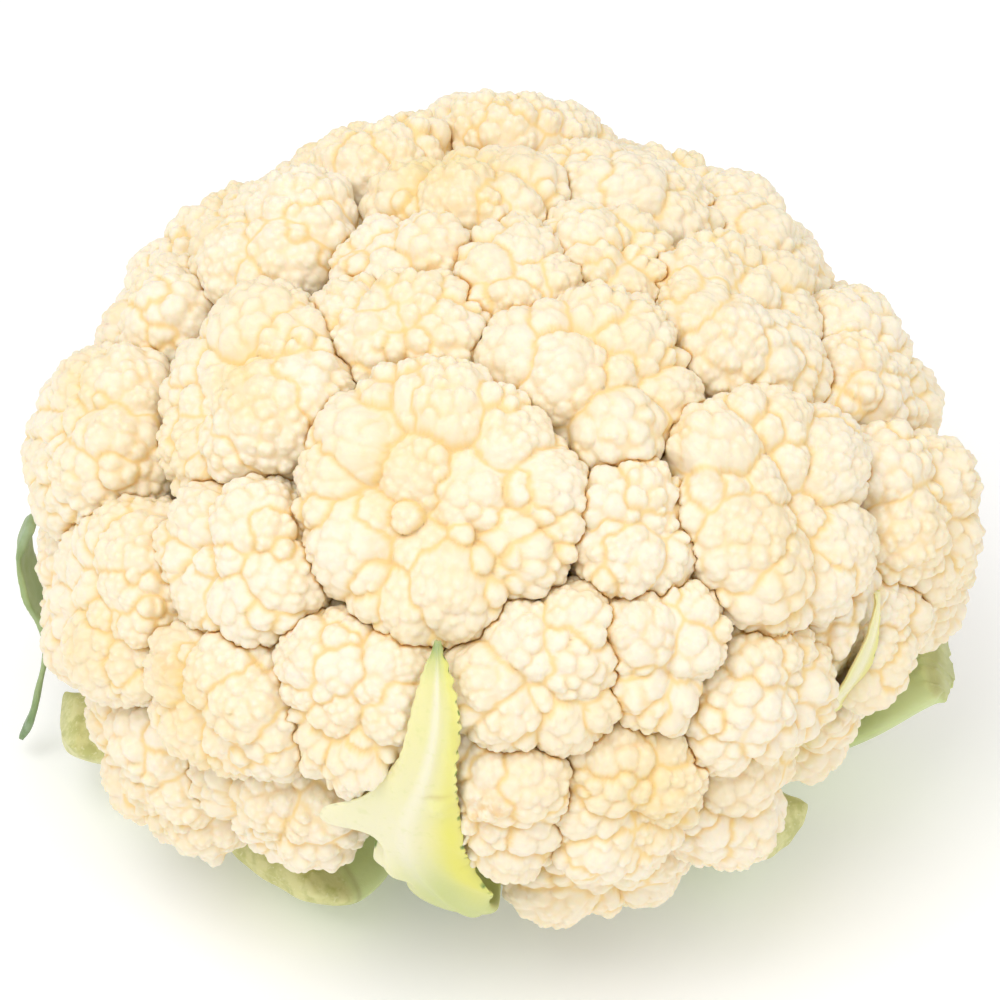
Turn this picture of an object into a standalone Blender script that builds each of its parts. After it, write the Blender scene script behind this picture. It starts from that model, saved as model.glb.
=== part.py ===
"""Trimmed cauliflower head, standing on the cut face of its stalk.

Frame: origin at the middle of the stalk's cut face, +Z up the stalk, -Y the side with
the inner leaf pressed against the curd.  Metres.

The stalk ends in a round knob.  Every floret is a branch that starts just outside the
knob and widens into a domed head.  The florets share the space around the knob as cones
whose walls all pass through the knob's centre, so they press against each other without
ever overlapping.  The leaf bases and cut leaf stalks fill the cone left free below.
"""
import math

import bmesh
import bpy
import numpy as np
from mathutils import Vector

# ---------------------------------------------------------------- driving dimensions
HEAD_WIDTH = 0.1745            # across the curd, left to right
HEAD_DEPTH = 0.1660            # across the curd, front to back
HEAD_HEIGHT = 0.1320           # full height of the spheroid that the domes follow
HEAD_MIDDLE_Z = 0.0620         # height of the spheroid's middle above the cut face
KNOB_CENTRE_Z = 0.0500         # where the floret branches would meet
KNOB_RADIUS = 0.0165
STALK_RADIUS = 0.0160
FOOT_RADIUS = 0.0200           # the cut face that the head stands on
FOOT_CHAMFER = 0.0015
KNOB_SWEEP = math.pi * 0.62     # how far down the knob's curve runs before the waist
KNOB_STEPS = 8
STALK_SEGMENTS = 24
GAP = 0.0003                   # clearance between neighbouring pieces
SKIRT_SLOPE = math.radians(27)  # florets stay above this downward slope from the knob

# Floret domes: the half width is stretched a little so that neighbours press together.
DOME_SPREAD = 1.50
DOME_HEIGHT_RATIO = 0.80
DOME_LOBE_SIZE = 0.045
FLORET_SIDES = 12
FLORET_RINGS = 8
NECK_FILL = 0.70               # share of the cone that a branch fills at the knob
SHOULDER_ANGLE = math.radians(100)

LEAF_BLADE = 0.0024            # thickness of an inner leaf
BED_DEPTH = 0.0300             # how far a leaf's bed is cleared outwards
BED_MARGIN = 0.0007

CREAM = (0.93, 0.86, 0.68)
STALK_GREEN = (0.72, 0.76, 0.50)
PALE_GREEN = (0.66, 0.72, 0.35)
YELLOW_GREEN = (0.78, 0.76, 0.36)
DARK_GREEN = (0.16, 0.26, 0.10)

# Florets: name, azimuth from the front (-Y) towards +X, elevation seen from the knob,
# half width in mm, and how far the dome stands proud of the spheroid in mm.
FLORETS = [
    ("floret_crown_1", 17, 81, 11, -1.0),
    ("floret_crown_2", -80, 77, 10, -1.5),
    ("floret_crown_3", -155, 76, 13, 0.0),
    ("floret_crown_4", 83, 74, 9.5, -1.5),
    ("floret_crown_5", -41, 69, 13.5, -0.5),
    ("floret_crown_6", 140, 58, 13.5, -1.5),
    ("floret_crown_7", 25, 62, 18.5, 0.5),
    ("floret_upper_1", 178, 49, 13.5, 4.0),
    ("floret_upper_2", -148, 53, 12.5, 2.0),
    ("floret_upper_3", -112, 52, 14.5, 1.0),
    ("floret_upper_4", -58, 49, 17.5, 0.5),
    ("floret_upper_5", -11, 47, 28, 1.0),
    ("floret_upper_6", 77, 54, 16.5, 0.0),
    ("floret_upper_7", 126, 40, 14, -2.5),
    ("floret_middle_1", 23, 41, 12.5, -0.5),
    ("floret_middle_2", 47, 36, 22, 1.0),
    ("floret_middle_3", 86, 33, 13, 0.5),
    ("floret_middle_4", 109, 19, 16, -4.0),
    ("floret_middle_5", 151, 26, 16, -0.5),
    ("floret_middle_6", 179, 24, 15, 0.0),
    ("floret_middle_7", -152, 27, 15.5, 0.0),
    ("floret_middle_8", -124, 27, 15.5, -0.5),
    ("floret_middle_9", -99, 38, 10.5, -1.0),
    ("floret_middle_10", -82, 26, 14.5, 3.0),
    ("floret_middle_11", -40, 32, 15, 0.0),
    ("floret_lower_1", 5, 27, 15.5, 0.0),
    ("floret_lower_2", 23, 26, 12, -0.5),
    ("floret_lower_3", 35, 16, 13, -0.5),
    ("floret_lower_4", 71, 23, 15, 3.0),
    ("floret_lower_5", 58, 14, 10.5, -1.5),
    ("floret_lower_6", -20, 22, 14.5, 0.0),
    ("floret_lower_7", -37, 15, 14.5, 0.0),
    ("floret_lower_8", -60, 15, 14.5, 0.5),
    ("floret_skirt_1", 2, 8, 12, 0.0),
    ("floret_skirt_2", 16, 6, 14, 0.5),
    ("floret_skirt_3", 34, -1, 12, -1.5),
    ("floret_skirt_4", 17, -17, 11, 0.5),
    ("floret_skirt_5", -32, -3, 11, -2.0),
    ("floret_skirt_6", -54, -9, 14, 4.5),
    ("floret_skirt_7", -84, 1, 14, 0.0),
    ("floret_skirt_8", -117, 4, 15, -0.5),
    ("floret_skirt_9", -148, 2, 15, -0.5),
    ("floret_skirt_10", 178, 0, 15, -0.5),
    ("floret_skirt_11", 144, 2, 15, -0.5),
    ("floret_skirt_12", 116, -3, 14, -0.5),
    ("floret_skirt_13", 86, 5, 13, -1.0),
    ("floret_skirt_14", 62, -5, 11.5, -6.5),
]


# ---------------------------------------------------------------- scene and materials
def clear_scene():
    for item in list(bpy.data.objects):
        bpy.data.objects.remove(item, do_unlink=True)


def new_collection(name):
    made = bpy.data.collections.new(name)
    bpy.context.scene.collection.children.link(made)
    return made


def plain_material(name, colour, roughness):
    made = bpy.data.materials.new(name)
    made.use_nodes = True
    shader = made.node_tree.nodes["Principled BSDF"]
    shader.inputs["Base Color"].default_value = (*colour, 1.0)
    shader.inputs["Roughness"].default_value = roughness
    shader.inputs["Metallic"].default_value = 0.0
    return made


def add_object(name, mesh, material, collection):
    mesh.shade_smooth()
    item = bpy.data.objects.new(name, mesh)
    collection.objects.link(item)
    if material is not None:
        mesh.materials.append(material)
    return item


def mesh_from(bm, name):
    mesh = bpy.data.meshes.new(name)
    bm.to_mesh(mesh)
    bm.free()
    return mesh


# ---------------------------------------------------------------- curves and directions
def heading(azimuth, elevation):
    """Unit vector for an azimuth from the front towards +X, and an elevation, in degrees."""
    turn = math.radians(azimuth)
    lift = math.radians(elevation)
    flat = math.cos(lift)
    return Vector((flat * math.sin(turn), -flat * math.cos(turn), math.sin(lift)))


def head_reach(direction):
    """Distance from the knob's centre to the head's spheroid along a direction."""
    axes = Vector((HEAD_WIDTH / 2, HEAD_DEPTH / 2, HEAD_HEIGHT / 2))
    start = Vector((0, 0, (KNOB_CENTRE_Z - HEAD_MIDDLE_Z) / axes.z))
    step = Vector([direction[i] / axes[i] for i in range(3)])
    a = step.dot(step)
    b = step.dot(start)
    c = start.dot(start) - 1
    return (-b + math.sqrt(b * b - a * c)) / a


def smooth_through(values, share):
    """Catmull-Rom value at a share (0 to 1) of the way along a list of equally spaced values."""
    place = min(max(share, 0.0), 1.0) * (len(values) - 1)
    low = min(int(place), len(values) - 2)
    t = place - low
    p1 = np.array(values[low], dtype=float)
    p2 = np.array(values[low + 1], dtype=float)
    p0 = np.array(values[max(low - 1, 0)], dtype=float)
    p3 = np.array(values[min(low + 2, len(values) - 1)], dtype=float)
    bend = 2 * p1 + (p2 - p0) * t + (2 * p0 - 5 * p1 + 4 * p2 - p3) * t * t
    return 0.5 * (bend + (3 * p1 - p0 - 3 * p2 + p3) * t ** 3)


# ---------------------------------------------------------------- florets
def floret_planes(index, axes, sizes):
    """Normals of the cone walls around one floret; every wall passes through the knob."""
    own = axes[index] / math.cos(sizes[index])
    walls = []
    for other, axis in enumerate(axes):
        if other != index and axis.dot(axes[index]) > 0:
            walls.append((own - axis / math.cos(sizes[other])).normalized())
    flat = Vector((axes[index].x, axes[index].y, 0)).normalized()
    walls.append((flat * math.sin(SKIRT_SLOPE) + Vector((0, 0, math.cos(SKIRT_SLOPE)))))
    return walls


def keep_in_cone(point, axis, walls):
    """Draw a point in towards the floret's axis until it clears every cone wall."""
    along = point.dot(axis)
    side = point - axis * along
    share = 1.0
    for wall in walls:
        fall = -wall.dot(side)
        room = along * wall.dot(axis) - GAP / 2
        if fall > 0:
            share = min(share, room / fall)
    return axis * along + side * max(share, 0.0)


def floret_mesh(name, axis, half_width, proud, walls, phase):
    """A branch and its dome, from a sphere whose rings run from the dome's top to the neck."""
    spread = half_width * DOME_SPREAD
    height = half_width * DOME_HEIGHT_RATIO
    centre = head_reach(axis) + proud - height
    neck = KNOB_RADIUS + 2 * GAP
    neck_radius = neck * math.tan(half_width / centre) * NECK_FILL
    turn = Vector((0, 0, 1)).rotation_difference(axis).to_matrix()
    bm = bmesh.new()
    bmesh.ops.create_uvsphere(bm, u_segments=FLORET_SIDES, v_segments=FLORET_RINGS, radius=1)
    last_ring = math.pi * (1 - 1 / FLORET_RINGS)
    for vert in bm.verts:
        tilt = math.acos(min(max(vert.co.z, -1), 1))
        around = math.atan2(vert.co.y, vert.co.x)
        lobes = 1 + DOME_LOBE_SIZE * math.cos(3 * around + phase) * math.sin(tilt)
        if tilt <= SHOULDER_ANGLE:
            wide = spread * math.sin(tilt) * lobes
            along = centre + height * math.cos(tilt)
        else:
            down = min((tilt - SHOULDER_ANGLE) / (last_ring - SHOULDER_ANGLE), 1)
            wide = neck_radius + (spread - neck_radius) * (1 - down) ** 1.4
            along = centre + (neck - centre) * down
        if tilt > math.pi - 0.01:
            wide = 0
        side = Vector((math.cos(around), math.sin(around), 0)) * wide
        vert.co = keep_in_cone(turn @ side + axis * along, axis, walls)
    return mesh_from(bm, name)


def build_florets(collection, beds):
    material = plain_material("curd", CREAM, 0.62)
    axes = [heading(azimuth, elevation) for _, azimuth, elevation, _, _ in FLORETS]
    sizes = [row[3] / 1000 / head_reach(axes[i]) for i, row in enumerate(FLORETS)]
    for index, (name, _, _, half_width, proud) in enumerate(FLORETS):
        walls = floret_planes(index, axes, sizes)
        phase = index * math.pi * (3 - math.sqrt(5))
        mesh = floret_mesh(name, axes[index], half_width / 1000, proud / 1000, walls, phase)
        floret = add_object(name, mesh, material, collection)
        floret.location = (0, 0, KNOB_CENTRE_Z)
        for bed, tenants in beds:
            if name in tenants:
                cut = floret.modifiers.new("leaf_bed", "BOOLEAN")
                cut.operation = "DIFFERENCE"
                cut.object = bed


# ---------------------------------------------------------------- stalk
def build_stalk(collection):
    """Turned profile: knob, waist, and a flared foot with its cut face on the ground."""
    waist_z = KNOB_CENTRE_Z - KNOB_RADIUS * 0.9
    profile = []
    for step in range(KNOB_STEPS + 1):
        tilt = KNOB_SWEEP * step / KNOB_STEPS
        profile.append((KNOB_RADIUS * math.sin(tilt), KNOB_CENTRE_Z + KNOB_RADIUS * math.cos(tilt)))
    profile.append((STALK_RADIUS * 0.96, waist_z))
    profile.append((STALK_RADIUS, waist_z * 0.55))
    profile.append((FOOT_RADIUS * 0.94, waist_z * 0.22))
    profile.append((FOOT_RADIUS, FOOT_CHAMFER))
    profile.append((FOOT_RADIUS - FOOT_CHAMFER, 0.0))
    profile.append((0.0, 0.0))
    bm = bmesh.new()
    verts = [bm.verts.new((radius, 0, height)) for radius, height in profile]
    for upper, lower in zip(verts, verts[1:]):
        bm.edges.new((upper, lower))
    stalk = add_object("stalk", mesh_from(bm, "stalk"), plain_material("stalk", STALK_GREEN, 0.6),
                       collection)
    turned = stalk.modifiers.new("turn", "SCREW")
    turned.axis = "Z"
    turned.steps = STALK_SEGMENTS
    turned.render_steps = STALK_SEGMENTS
    turned.use_merge_vertices = True
    turned.merge_threshold = 0.00001
    turned.use_smooth_shade = True


# ---------------------------------------------------------------- cut leaf stalks
def leaf_stalk(name, azimuth, line, widths, depths, cup, material, collection,
               sides=12, rings=10, cut_lean=0.0, sway=(0, 0)):
    """Thick leaf stalk with flat cut ends.

    line holds (distance from the stalk's axis, height) points of the middle line, widths and
    depths the half sizes along it, cup lifts the edges, cut_lean slants the outer cut, and
    sway carries the line sideways towards its outer end.
    """
    bm = bmesh.new()
    bmesh.ops.create_uvsphere(bm, u_segments=sides, v_segments=rings, radius=1)
    for vert in bm.verts:
        ring = round(math.acos(min(max(vert.co.z, -1), 1)) / math.pi * rings)
        around = math.atan2(vert.co.y, vert.co.x)
        share = min(max((ring - 1) / (rings - 2), 0), 1)
        inside = 0 if ring in (0, rings) else 1
        out, height = smooth_through(line, share)
        wide = smooth_through(widths, share) * inside
        deep = smooth_through(depths, share) * inside
        ahead = smooth_through(line, min(share + 0.02, 1)) - smooth_through(line, max(share - 0.02, 0))
        ahead = ahead / np.linalg.norm(ahead)
        rise = deep * math.sin(around) + cup * wide * math.cos(around) ** 2
        lean = cut_lean * share ** 4 * rise
        vert.co = Vector((
            float(smooth_through(sway, share)) + wide * math.cos(around),
            -(out - ahead[1] * rise + ahead[0] * lean),
            height + ahead[0] * rise + ahead[1] * lean,
        ))
    bmesh.ops.reverse_faces(bm, faces=bm.faces)
    item = add_object(name, mesh_from(bm, name), material, collection)
    item.rotation_euler = (0, 0, math.radians(azimuth))
    return item


def build_leaf_stalks(collection):
    pale = plain_material("leaf_stalk", PALE_GREEN, 0.5)
    # Front left: wide, cut short just outside the curd.
    leaf_stalk("leaf_stump_front_left", -42,
               [(0.0195, 0.0185), (0.034, 0.0140), (0.048, 0.0105), (0.0590, 0.0100)],
               [0.0050, 0.0095, 0.0160, 0.0150], [0.0045, 0.0060, 0.0070, 0.0058],
               0.10, pale, collection, cut_lean=0.5)
    # Front right: the same, shorter.
    leaf_stalk("leaf_stump_front_right", 53,
               [(0.0195, 0.0185), (0.034, 0.0145), (0.048, 0.0122), (0.0625, 0.0130)],
               [0.0045, 0.0080, 0.0115, 0.0095], [0.0045, 0.0060, 0.0068, 0.0058],
               0.10, pale, collection, cut_lean=0.5)
    # Right: a long leaf stalk that ends in a torn knot.
    leaf_stalk("leaf_stalk_right", 84,
               [(0.0195, 0.0165), (0.038, 0.0105), (0.060, 0.0125), (0.0830, 0.0300)],
               [0.0045, 0.0080, 0.0098, 0.0080], [0.0045, 0.0050, 0.0050, 0.0050],
               0.10, pale, collection, rings=12)
    # Left: a stump that shows below the curd.
    leaf_stalk("leaf_stump_left", -80,
               [(0.0195, 0.0170), (0.036, 0.0130), (0.057, 0.0115), (0.0815, 0.0185)],
               [0.0040, 0.0060, 0.0085, 0.0080], [0.0045, 0.0060, 0.0060, 0.0048],
               0.15, pale, collection)
    # Back: three more cut stalks, spaced like the rest of the whorl.
    for name, azimuth, reach in (("leaf_stump_back_right", 124, 0.066),
                                 ("leaf_stump_back", 170, 0.070),
                                 ("leaf_stump_back_left", -142, 0.064)):
        leaf_stalk(name, azimuth,
                   [(0.0195, 0.0180), (0.036, 0.0140), (0.052, 0.0120), (reach, 0.0130)],
                   [0.0050, 0.0090, 0.0130, 0.0125], [0.0045, 0.0060, 0.0062, 0.0052],
                   0.12, pale, collection, cut_lean=0.5)


# ---------------------------------------------------------------- inner leaves
def blade_mesh(name, line, left, right, sway, curl, across, along, margin=0.0, sink=0.0):
    """Open sheet along a line of (distance out, height), with its own left and right widths."""
    bm = bmesh.new()
    bmesh.ops.create_grid(bm, x_segments=across, y_segments=along, size=1)
    for vert in bm.verts:
        share = (vert.co.y + 1) / 2
        side = vert.co.x
        out, height = smooth_through(line, share)
        ahead = smooth_through(line, min(share + 0.02, 1)) - smooth_through(line, max(share - 0.02, 0))
        ahead = ahead / np.linalg.norm(ahead)
        edge = smooth_through(left if side < 0 else right, share) + margin
        fall = curl * (edge * side) ** 2 + sink
        vert.co = Vector((
            float(smooth_through(sway, share)) + edge * side,
            -(out - ahead[1] * fall),
            height + ahead[0] * fall,
        ))
    return mesh_from(bm, name)


def add_blade(name, azimuth, material, collection, thickness, **shape):
    item = add_object(name, blade_mesh(name, **shape), material, collection)
    item.rotation_euler = (0, 0, math.radians(azimuth))
    solid = item.modifiers.new("thickness", "SOLIDIFY")
    solid.thickness = thickness
    solid.offset = 1.0
    return item


def add_bed(name, azimuth, cutters, **shape):
    """Guide solid that clears the curd under a leaf and everything outside it."""
    bed = add_blade(name, azimuth, None, cutters, BED_DEPTH, margin=BED_MARGIN, sink=GAP, **shape)
    bed.hide_render = True
    bed.display_type = "WIRE"
    return bed


def build_inner_leaves(collection, cutters):
    """The two leaves that lie against the curd, and the beds they leave in it."""
    yellow = plain_material("inner_leaf", YELLOW_GREEN, 0.45)
    front = dict(
        line=[(0.0195, 0.0270), (0.040, 0.0215), (0.0560, 0.0205), (0.0662, 0.0260), (0.0740, 0.0380),
              (0.0780, 0.0530), (0.0788, 0.0660), (0.0780, 0.0790), (0.0740, 0.0910)],
        left=[0.0040, 0.0050, 0.0040, 0.0030, 0.0090, 0.0190, 0.0095, 0.0038, 0.0008],
        right=[0.0040, 0.0050, 0.0040, 0.0045, 0.0050, 0.0028, 0.0024, 0.0020, 0.0008],
        sway=[0.0, 0.001, 0.003, 0.0035, 0.0, 0.0, 0.0, 0.0, -0.0014],
        curl=7.0, across=6, along=16)
    right = dict(
        line=[(0.0195, 0.0290), (0.0360, 0.0240), (0.0500, 0.0240), (0.0600, 0.0330), (0.0670, 0.0450),
              (0.0735, 0.0570), (0.0785, 0.0690), (0.0768, 0.0795)],
        left=[0.0030, 0.0040, 0.0050, 0.0055, 0.0055, 0.0045, 0.0032, 0.0008],
        right=[0.0030, 0.0040, 0.0050, 0.0055, 0.0050, 0.0040, 0.0030, 0.0008],
        sway=[0.0, 0.0, -0.001, -0.003, -0.0045, -0.0035, 0.001, 0.0088],
        curl=9.0, across=4, along=14)
    add_blade("inner_leaf_front", -7, yellow, collection, LEAF_BLADE, **front)
    add_blade("inner_leaf_right", 50, yellow, collection, LEAF_BLADE, **right)
    return [
        (add_bed("bed_front", -7, cutters, **front),
         {"floret_upper_5", "floret_lower_1", "floret_lower_6", "floret_lower_7", "floret_skirt_1",
          "floret_skirt_4", "floret_skirt_5", "floret_skirt_2"}),
        (add_bed("bed_right", 50, cutters, **right),
         {"floret_middle_2", "floret_lower_3", "floret_lower_4", "floret_lower_5", "floret_skirt_3",
          "floret_skirt_13", "floret_skirt_14"}),
    ]


def build_outer_leaves(collection, cutters):
    """The torn leaf on the left with its hanging strip, and a scrap at the front leaf's foot."""
    green = plain_material("outer_leaf", DARK_GREEN, 0.55)
    torn = dict(
        line=[(0.0195, 0.0270), (0.045, 0.0190), (0.0660, 0.0130), (0.0790, 0.0150), (0.0848, 0.0250),
              (0.0880, 0.0360), (0.0888, 0.0440), (0.0862, 0.0500)],
        left=[0.0030, 0.0030, 0.0030, 0.0040, 0.0055, 0.0060, 0.0060, 0.0030],
        right=[0.0030, 0.0030, 0.0030, 0.0030, 0.0035, 0.0040, 0.0040, 0.0030],
        sway=[0.0, 0.0, 0.0, 0.0, 0.0, 0.0, 0.0, 0.0],
        curl=6.0, across=4, along=14)
    leaf = add_blade("leaf_left_torn", -95, green, collection, 0.0016, **torn)
    strip = add_blade("torn_strip", -95, None, cutters, 0.0012,
                      line=[(0.0851, 0.0270), (0.0868, 0.0190), (0.0884, 0.0120), (0.0912, 0.0055)],
                      left=[0.0020, 0.0014, 0.0012, 0.0010],
                      right=[0.0020, 0.0014, 0.0030, 0.0010],
                      sway=[0.0020, 0.0065, 0.0090, 0.0100],
                      curl=0.0, across=4, along=10)
    strip.hide_render = True
    strip.display_type = "WIRE"
    joined = leaf.modifiers.new("strip", "BOOLEAN")
    joined.operation = "UNION"
    joined.object = strip
    add_blade("leaf_scrap_front", -15, green, collection, 0.0012,
              line=[(0.0195, 0.0060), (0.030, 0.0050), (0.040, 0.0060), (0.0480, 0.0085)],
              left=[0.0025, 0.0035, 0.0045, 0.0010],
              right=[0.0025, 0.0035, 0.0040, 0.0010],
              sway=[0.0, 0.0, 0.0, 0.001],
              curl=8.0, across=4, along=8)
    return [(add_bed("bed_left", -95, cutters, **torn),
             {"floret_middle_10", "floret_middle_8", "floret_lower_8", "floret_skirt_7", "floret_skirt_8"})]


def main():
    clear_scene()
    cauliflower = new_collection("cauliflower")
    cutters = new_collection("cutters")
    build_stalk(cauliflower)
    beds = build_inner_leaves(cauliflower, cutters) + build_outer_leaves(cauliflower, cutters)
    build_florets(cauliflower, beds)
    build_leaf_stalks(cauliflower)


main()
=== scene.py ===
import math

import bmesh
import bpy
import numpy as np
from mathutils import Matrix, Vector
from mathutils.bvhtree import BVHTree


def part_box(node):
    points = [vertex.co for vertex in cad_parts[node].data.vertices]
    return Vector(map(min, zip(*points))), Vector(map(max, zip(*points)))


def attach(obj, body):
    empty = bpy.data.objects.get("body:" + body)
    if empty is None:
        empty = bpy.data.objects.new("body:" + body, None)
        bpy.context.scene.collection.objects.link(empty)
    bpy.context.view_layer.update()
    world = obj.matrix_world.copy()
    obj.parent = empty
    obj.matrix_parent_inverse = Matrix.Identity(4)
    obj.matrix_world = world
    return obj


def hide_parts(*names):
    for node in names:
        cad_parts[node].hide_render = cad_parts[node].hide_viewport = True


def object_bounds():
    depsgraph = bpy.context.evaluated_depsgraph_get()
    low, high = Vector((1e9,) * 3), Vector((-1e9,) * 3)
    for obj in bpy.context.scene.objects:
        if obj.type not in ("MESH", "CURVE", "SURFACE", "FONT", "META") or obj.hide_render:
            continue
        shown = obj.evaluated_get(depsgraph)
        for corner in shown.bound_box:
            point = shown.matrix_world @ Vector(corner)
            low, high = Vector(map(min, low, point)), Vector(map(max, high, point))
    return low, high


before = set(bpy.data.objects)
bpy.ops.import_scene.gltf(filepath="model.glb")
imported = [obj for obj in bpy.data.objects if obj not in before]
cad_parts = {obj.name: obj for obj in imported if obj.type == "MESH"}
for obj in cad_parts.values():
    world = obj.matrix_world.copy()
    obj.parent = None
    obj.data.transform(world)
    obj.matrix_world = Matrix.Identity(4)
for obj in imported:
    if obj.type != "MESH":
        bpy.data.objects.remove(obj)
cad_low, cad_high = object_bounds()

# ---------------------------------------------------------------- sizes, in metres
KNOB_RADIUS = 0.0165            # the stalk's knob, where every floret's branch meets
REACH = math.radians(116)       # how far round its centre a floret's curd runs
GRAIN = 0.00046    # spacing of the surface's vertices
BASE_STEPS = 41                 # directions each way that the plain dome is read at
BASE_BLUR = 1.25                # smoothing of the plain dome, in those steps
BULGE = 0.0030                  # how far a dome's sides swell past its cell
INSET = 0.0008                  # how far the plain dome starts inside the CAD one
CLEARANCE = 0.00003             # between one floret and the next
LEAF_CLEARANCE = 0.00035        # between the curd and a leaf that lies on it
SEAM_WIDTH = 0.00045            # softness of the groove where two florets meet
SEAM_DEPTH = 0.00020
NECK_RINGS = 12                 # rings of vertices along a floret's branch
LARGE_BUMPS = (0.0066, 0.0056, 0.0046, 0.0036, 0.0027, 0.0019)   # half spacings, large first
BUMP_ROUNDNESS = 1.52           # radius of a large bump over its half spacing
LARGE_DEPTH = 0.0032            # deepest crease between large bumps
MIDDLE_SPACING = 0.0036
MIDDLE_HEIGHT = 0.00060
BUD_SPACING = 0.00150
BUD_HEIGHT = 0.00032
TRIES = 300                     # places tried for each size of large bump
CREASE_SHARE = 1.7              # deepest crease between small bumps, over their height
SHARE_STEPS = 9                 # halvings that find where two florets meet
UV_BORDER = 0.06                # share of the layout kept for the branch
BLISTER = 0.715                 # the front leaf's blister, as a share of the way to its tip
CAMERA_ELEVATION = math.radians(40)
CAMERA_DISTANCE = 0.75
CAMERA_LENS = 148.5             # millimetres, on a sensor 36 mm wide
SENSOR_WIDTH = 36
AIM_HEIGHT = 0.0625
FLOOR_HALF = 3.0

# ---------------------------------------------------------------- small helpers


def smooth(x):
    x = np.clip(x, 0, 1)
    return x * x * (3 - 2 * x)


def waves(points, size, seed, count=10):
    """Slow pseudo-random field over points, about -1 to 1, with features of the given size."""
    rng = np.random.default_rng(seed)
    total = np.zeros(len(points))
    for _ in range(count):
        way = rng.normal(size=3)
        way *= rng.uniform(0.6, 1.5) * 2 * math.pi / size / np.linalg.norm(way) / 2
        total += np.sin(points @ way + rng.uniform(0, 2 * math.pi))
    return total / math.sqrt(count / 2) / 1.6


def blur(values, size):
    """Gaussian smoothing of a grid each way, by a size in grid steps."""
    for axis in (0, 1):
        count = values.shape[axis]
        gap = np.arange(count)[:, None] - np.arange(count)[None, :]
        weight = np.exp(-0.5 * (gap / size) ** 2)
        weight /= weight.sum(1, keepdims=True)
        values = weight @ values if axis == 0 else values @ weight.T
    return values


def node_arrays(name):
    """Points and faces of a CAD node."""
    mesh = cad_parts[name].data
    co = np.zeros(len(mesh.vertices) * 3, np.float32)
    mesh.vertices.foreach_get("co", co)
    return co.reshape(-1, 3).astype(float), [tuple(p.vertices) for p in mesh.polygons]


def tree_of(names):
    """One ray-casting tree over several CAD nodes."""
    verts, faces = [], []
    for name in names:
        co, polygons = node_arrays(name)
        faces += [tuple(i + len(verts) for i in p) for p in polygons]
        verts += [Vector(v) for v in co]
    return BVHTree.FromPolygons(verts, faces)


def new_mesh(name, points, faces):
    """Smooth-shaded mesh from points and faces of an equal number of sides."""
    mesh = bpy.data.meshes.new(name)
    mesh.vertices.add(len(points))
    mesh.vertices.foreach_set("co", np.asarray(points, np.float32).ravel())
    mesh.loops.add(faces.size)
    mesh.loops.foreach_set("vertex_index", faces.astype(np.int32).ravel())
    mesh.polygons.add(len(faces))
    sides = faces.shape[1]
    mesh.polygons.foreach_set("loop_start", np.arange(len(faces), dtype=np.int32) * sides)
    mesh.polygons.foreach_set("loop_total", np.full(len(faces), sides, np.int32))
    mesh.polygons.foreach_set("use_smooth", np.ones(len(faces), bool))
    mesh.update(calc_edges=True)
    return mesh


def add_values(mesh, name, values):
    layer = mesh.attributes.new(name, "FLOAT", "POINT")
    layer.data.foreach_set("value", np.asarray(values, np.float32))


def add_piece(name, mesh, material, nodes):
    piece = bpy.data.objects.new(name, mesh)
    bpy.context.scene.collection.objects.link(piece)
    mesh.materials.append(material)
    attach(piece, "root")
    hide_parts(*nodes)
    return piece


# ---------------------------------------------------------------- a square laid over a dome
def square_to_angles(a, b):
    """Points of a square (-1 to 1 each way) to angles from the axis and around it."""
    wide = np.abs(a) > np.abs(b)
    rim = np.where(wide, a, b)
    safe_a = np.where(a == 0, 1, a)
    safe_b = np.where(b == 0, 1, b)
    turn = np.where(wide, math.pi / 4 * b / safe_a, math.pi / 2 - math.pi / 4 * a / safe_b)
    turn = np.where(rim < 0, turn + math.pi, turn)
    return np.abs(rim) * REACH, turn


def angles_to_square(tilt, turn):
    rim = tilt / REACH
    quarter = math.pi / 4
    turn = (turn + math.pi) % (2 * math.pi) - math.pi
    back = np.where(turn > 0, turn - math.pi, turn + math.pi)
    a = np.where(np.abs(turn) < quarter, rim, 0.0)
    b = np.where(np.abs(turn) < quarter, turn * rim / quarter, 0.0)
    left = (turn >= quarter) & (turn < 3 * quarter)
    a = np.where(left, -(turn - 2 * quarter) * rim / quarter, a)
    b = np.where(left, rim, b)
    rear = np.abs(turn) >= 3 * quarter
    a = np.where(rear, -rim, a)
    b = np.where(rear, -back * rim / quarter, b)
    right = (turn <= -quarter) & (turn > -3 * quarter)
    a = np.where(right, (turn + 2 * quarter) * rim / quarter, a)
    b = np.where(right, -rim, b)
    return a, b


# Domes with a yellowed or a browned place: tilt and turn from the dome's middle in degrees, its
# size in metres, and how strong it is.
YELLOWED = {
    "floret_crown_3": [(10, 0, 0.011, 1.0)],
    "floret_upper_4": [(18, 60, 0.006, 0.8), (30, -80, 0.006, 0.5)],
    "floret_upper_5": [(12, 120, 0.010, 0.5)],
    "floret_middle_10": [(25, 90, 0.007, 0.8)],
    "floret_lower_8": [(20, -60, 0.007, 0.6)],
    "floret_lower_7": [(15, 180, 0.008, 0.6), (45, -90, 0.006, 0.5)],
    "floret_skirt_2": [(20, 90, 0.008, 0.5)],
    "floret_upper_2": [(10, 0, 0.008, 0.6)],
    "floret_upper_3": [(25, -30, 0.007, 0.5)],
    "floret_middle_6": [(15, 40, 0.008, 0.6)],
    "floret_skirt_9": [(15, 10, 0.007, 0.5)],
}
BROWNED = {
    "floret_skirt_1": [(12, 90, 0.0042, 0.8)],
    "floret_lower_7": [(30, 150, 0.0030, 0.5), (50, -60, 0.0030, 0.4)],
    "floret_lower_4": [(62, 0, 0.0045, 0.7)],
    "floret_middle_7": [(25, 60, 0.0030, 0.5)],
}


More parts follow.
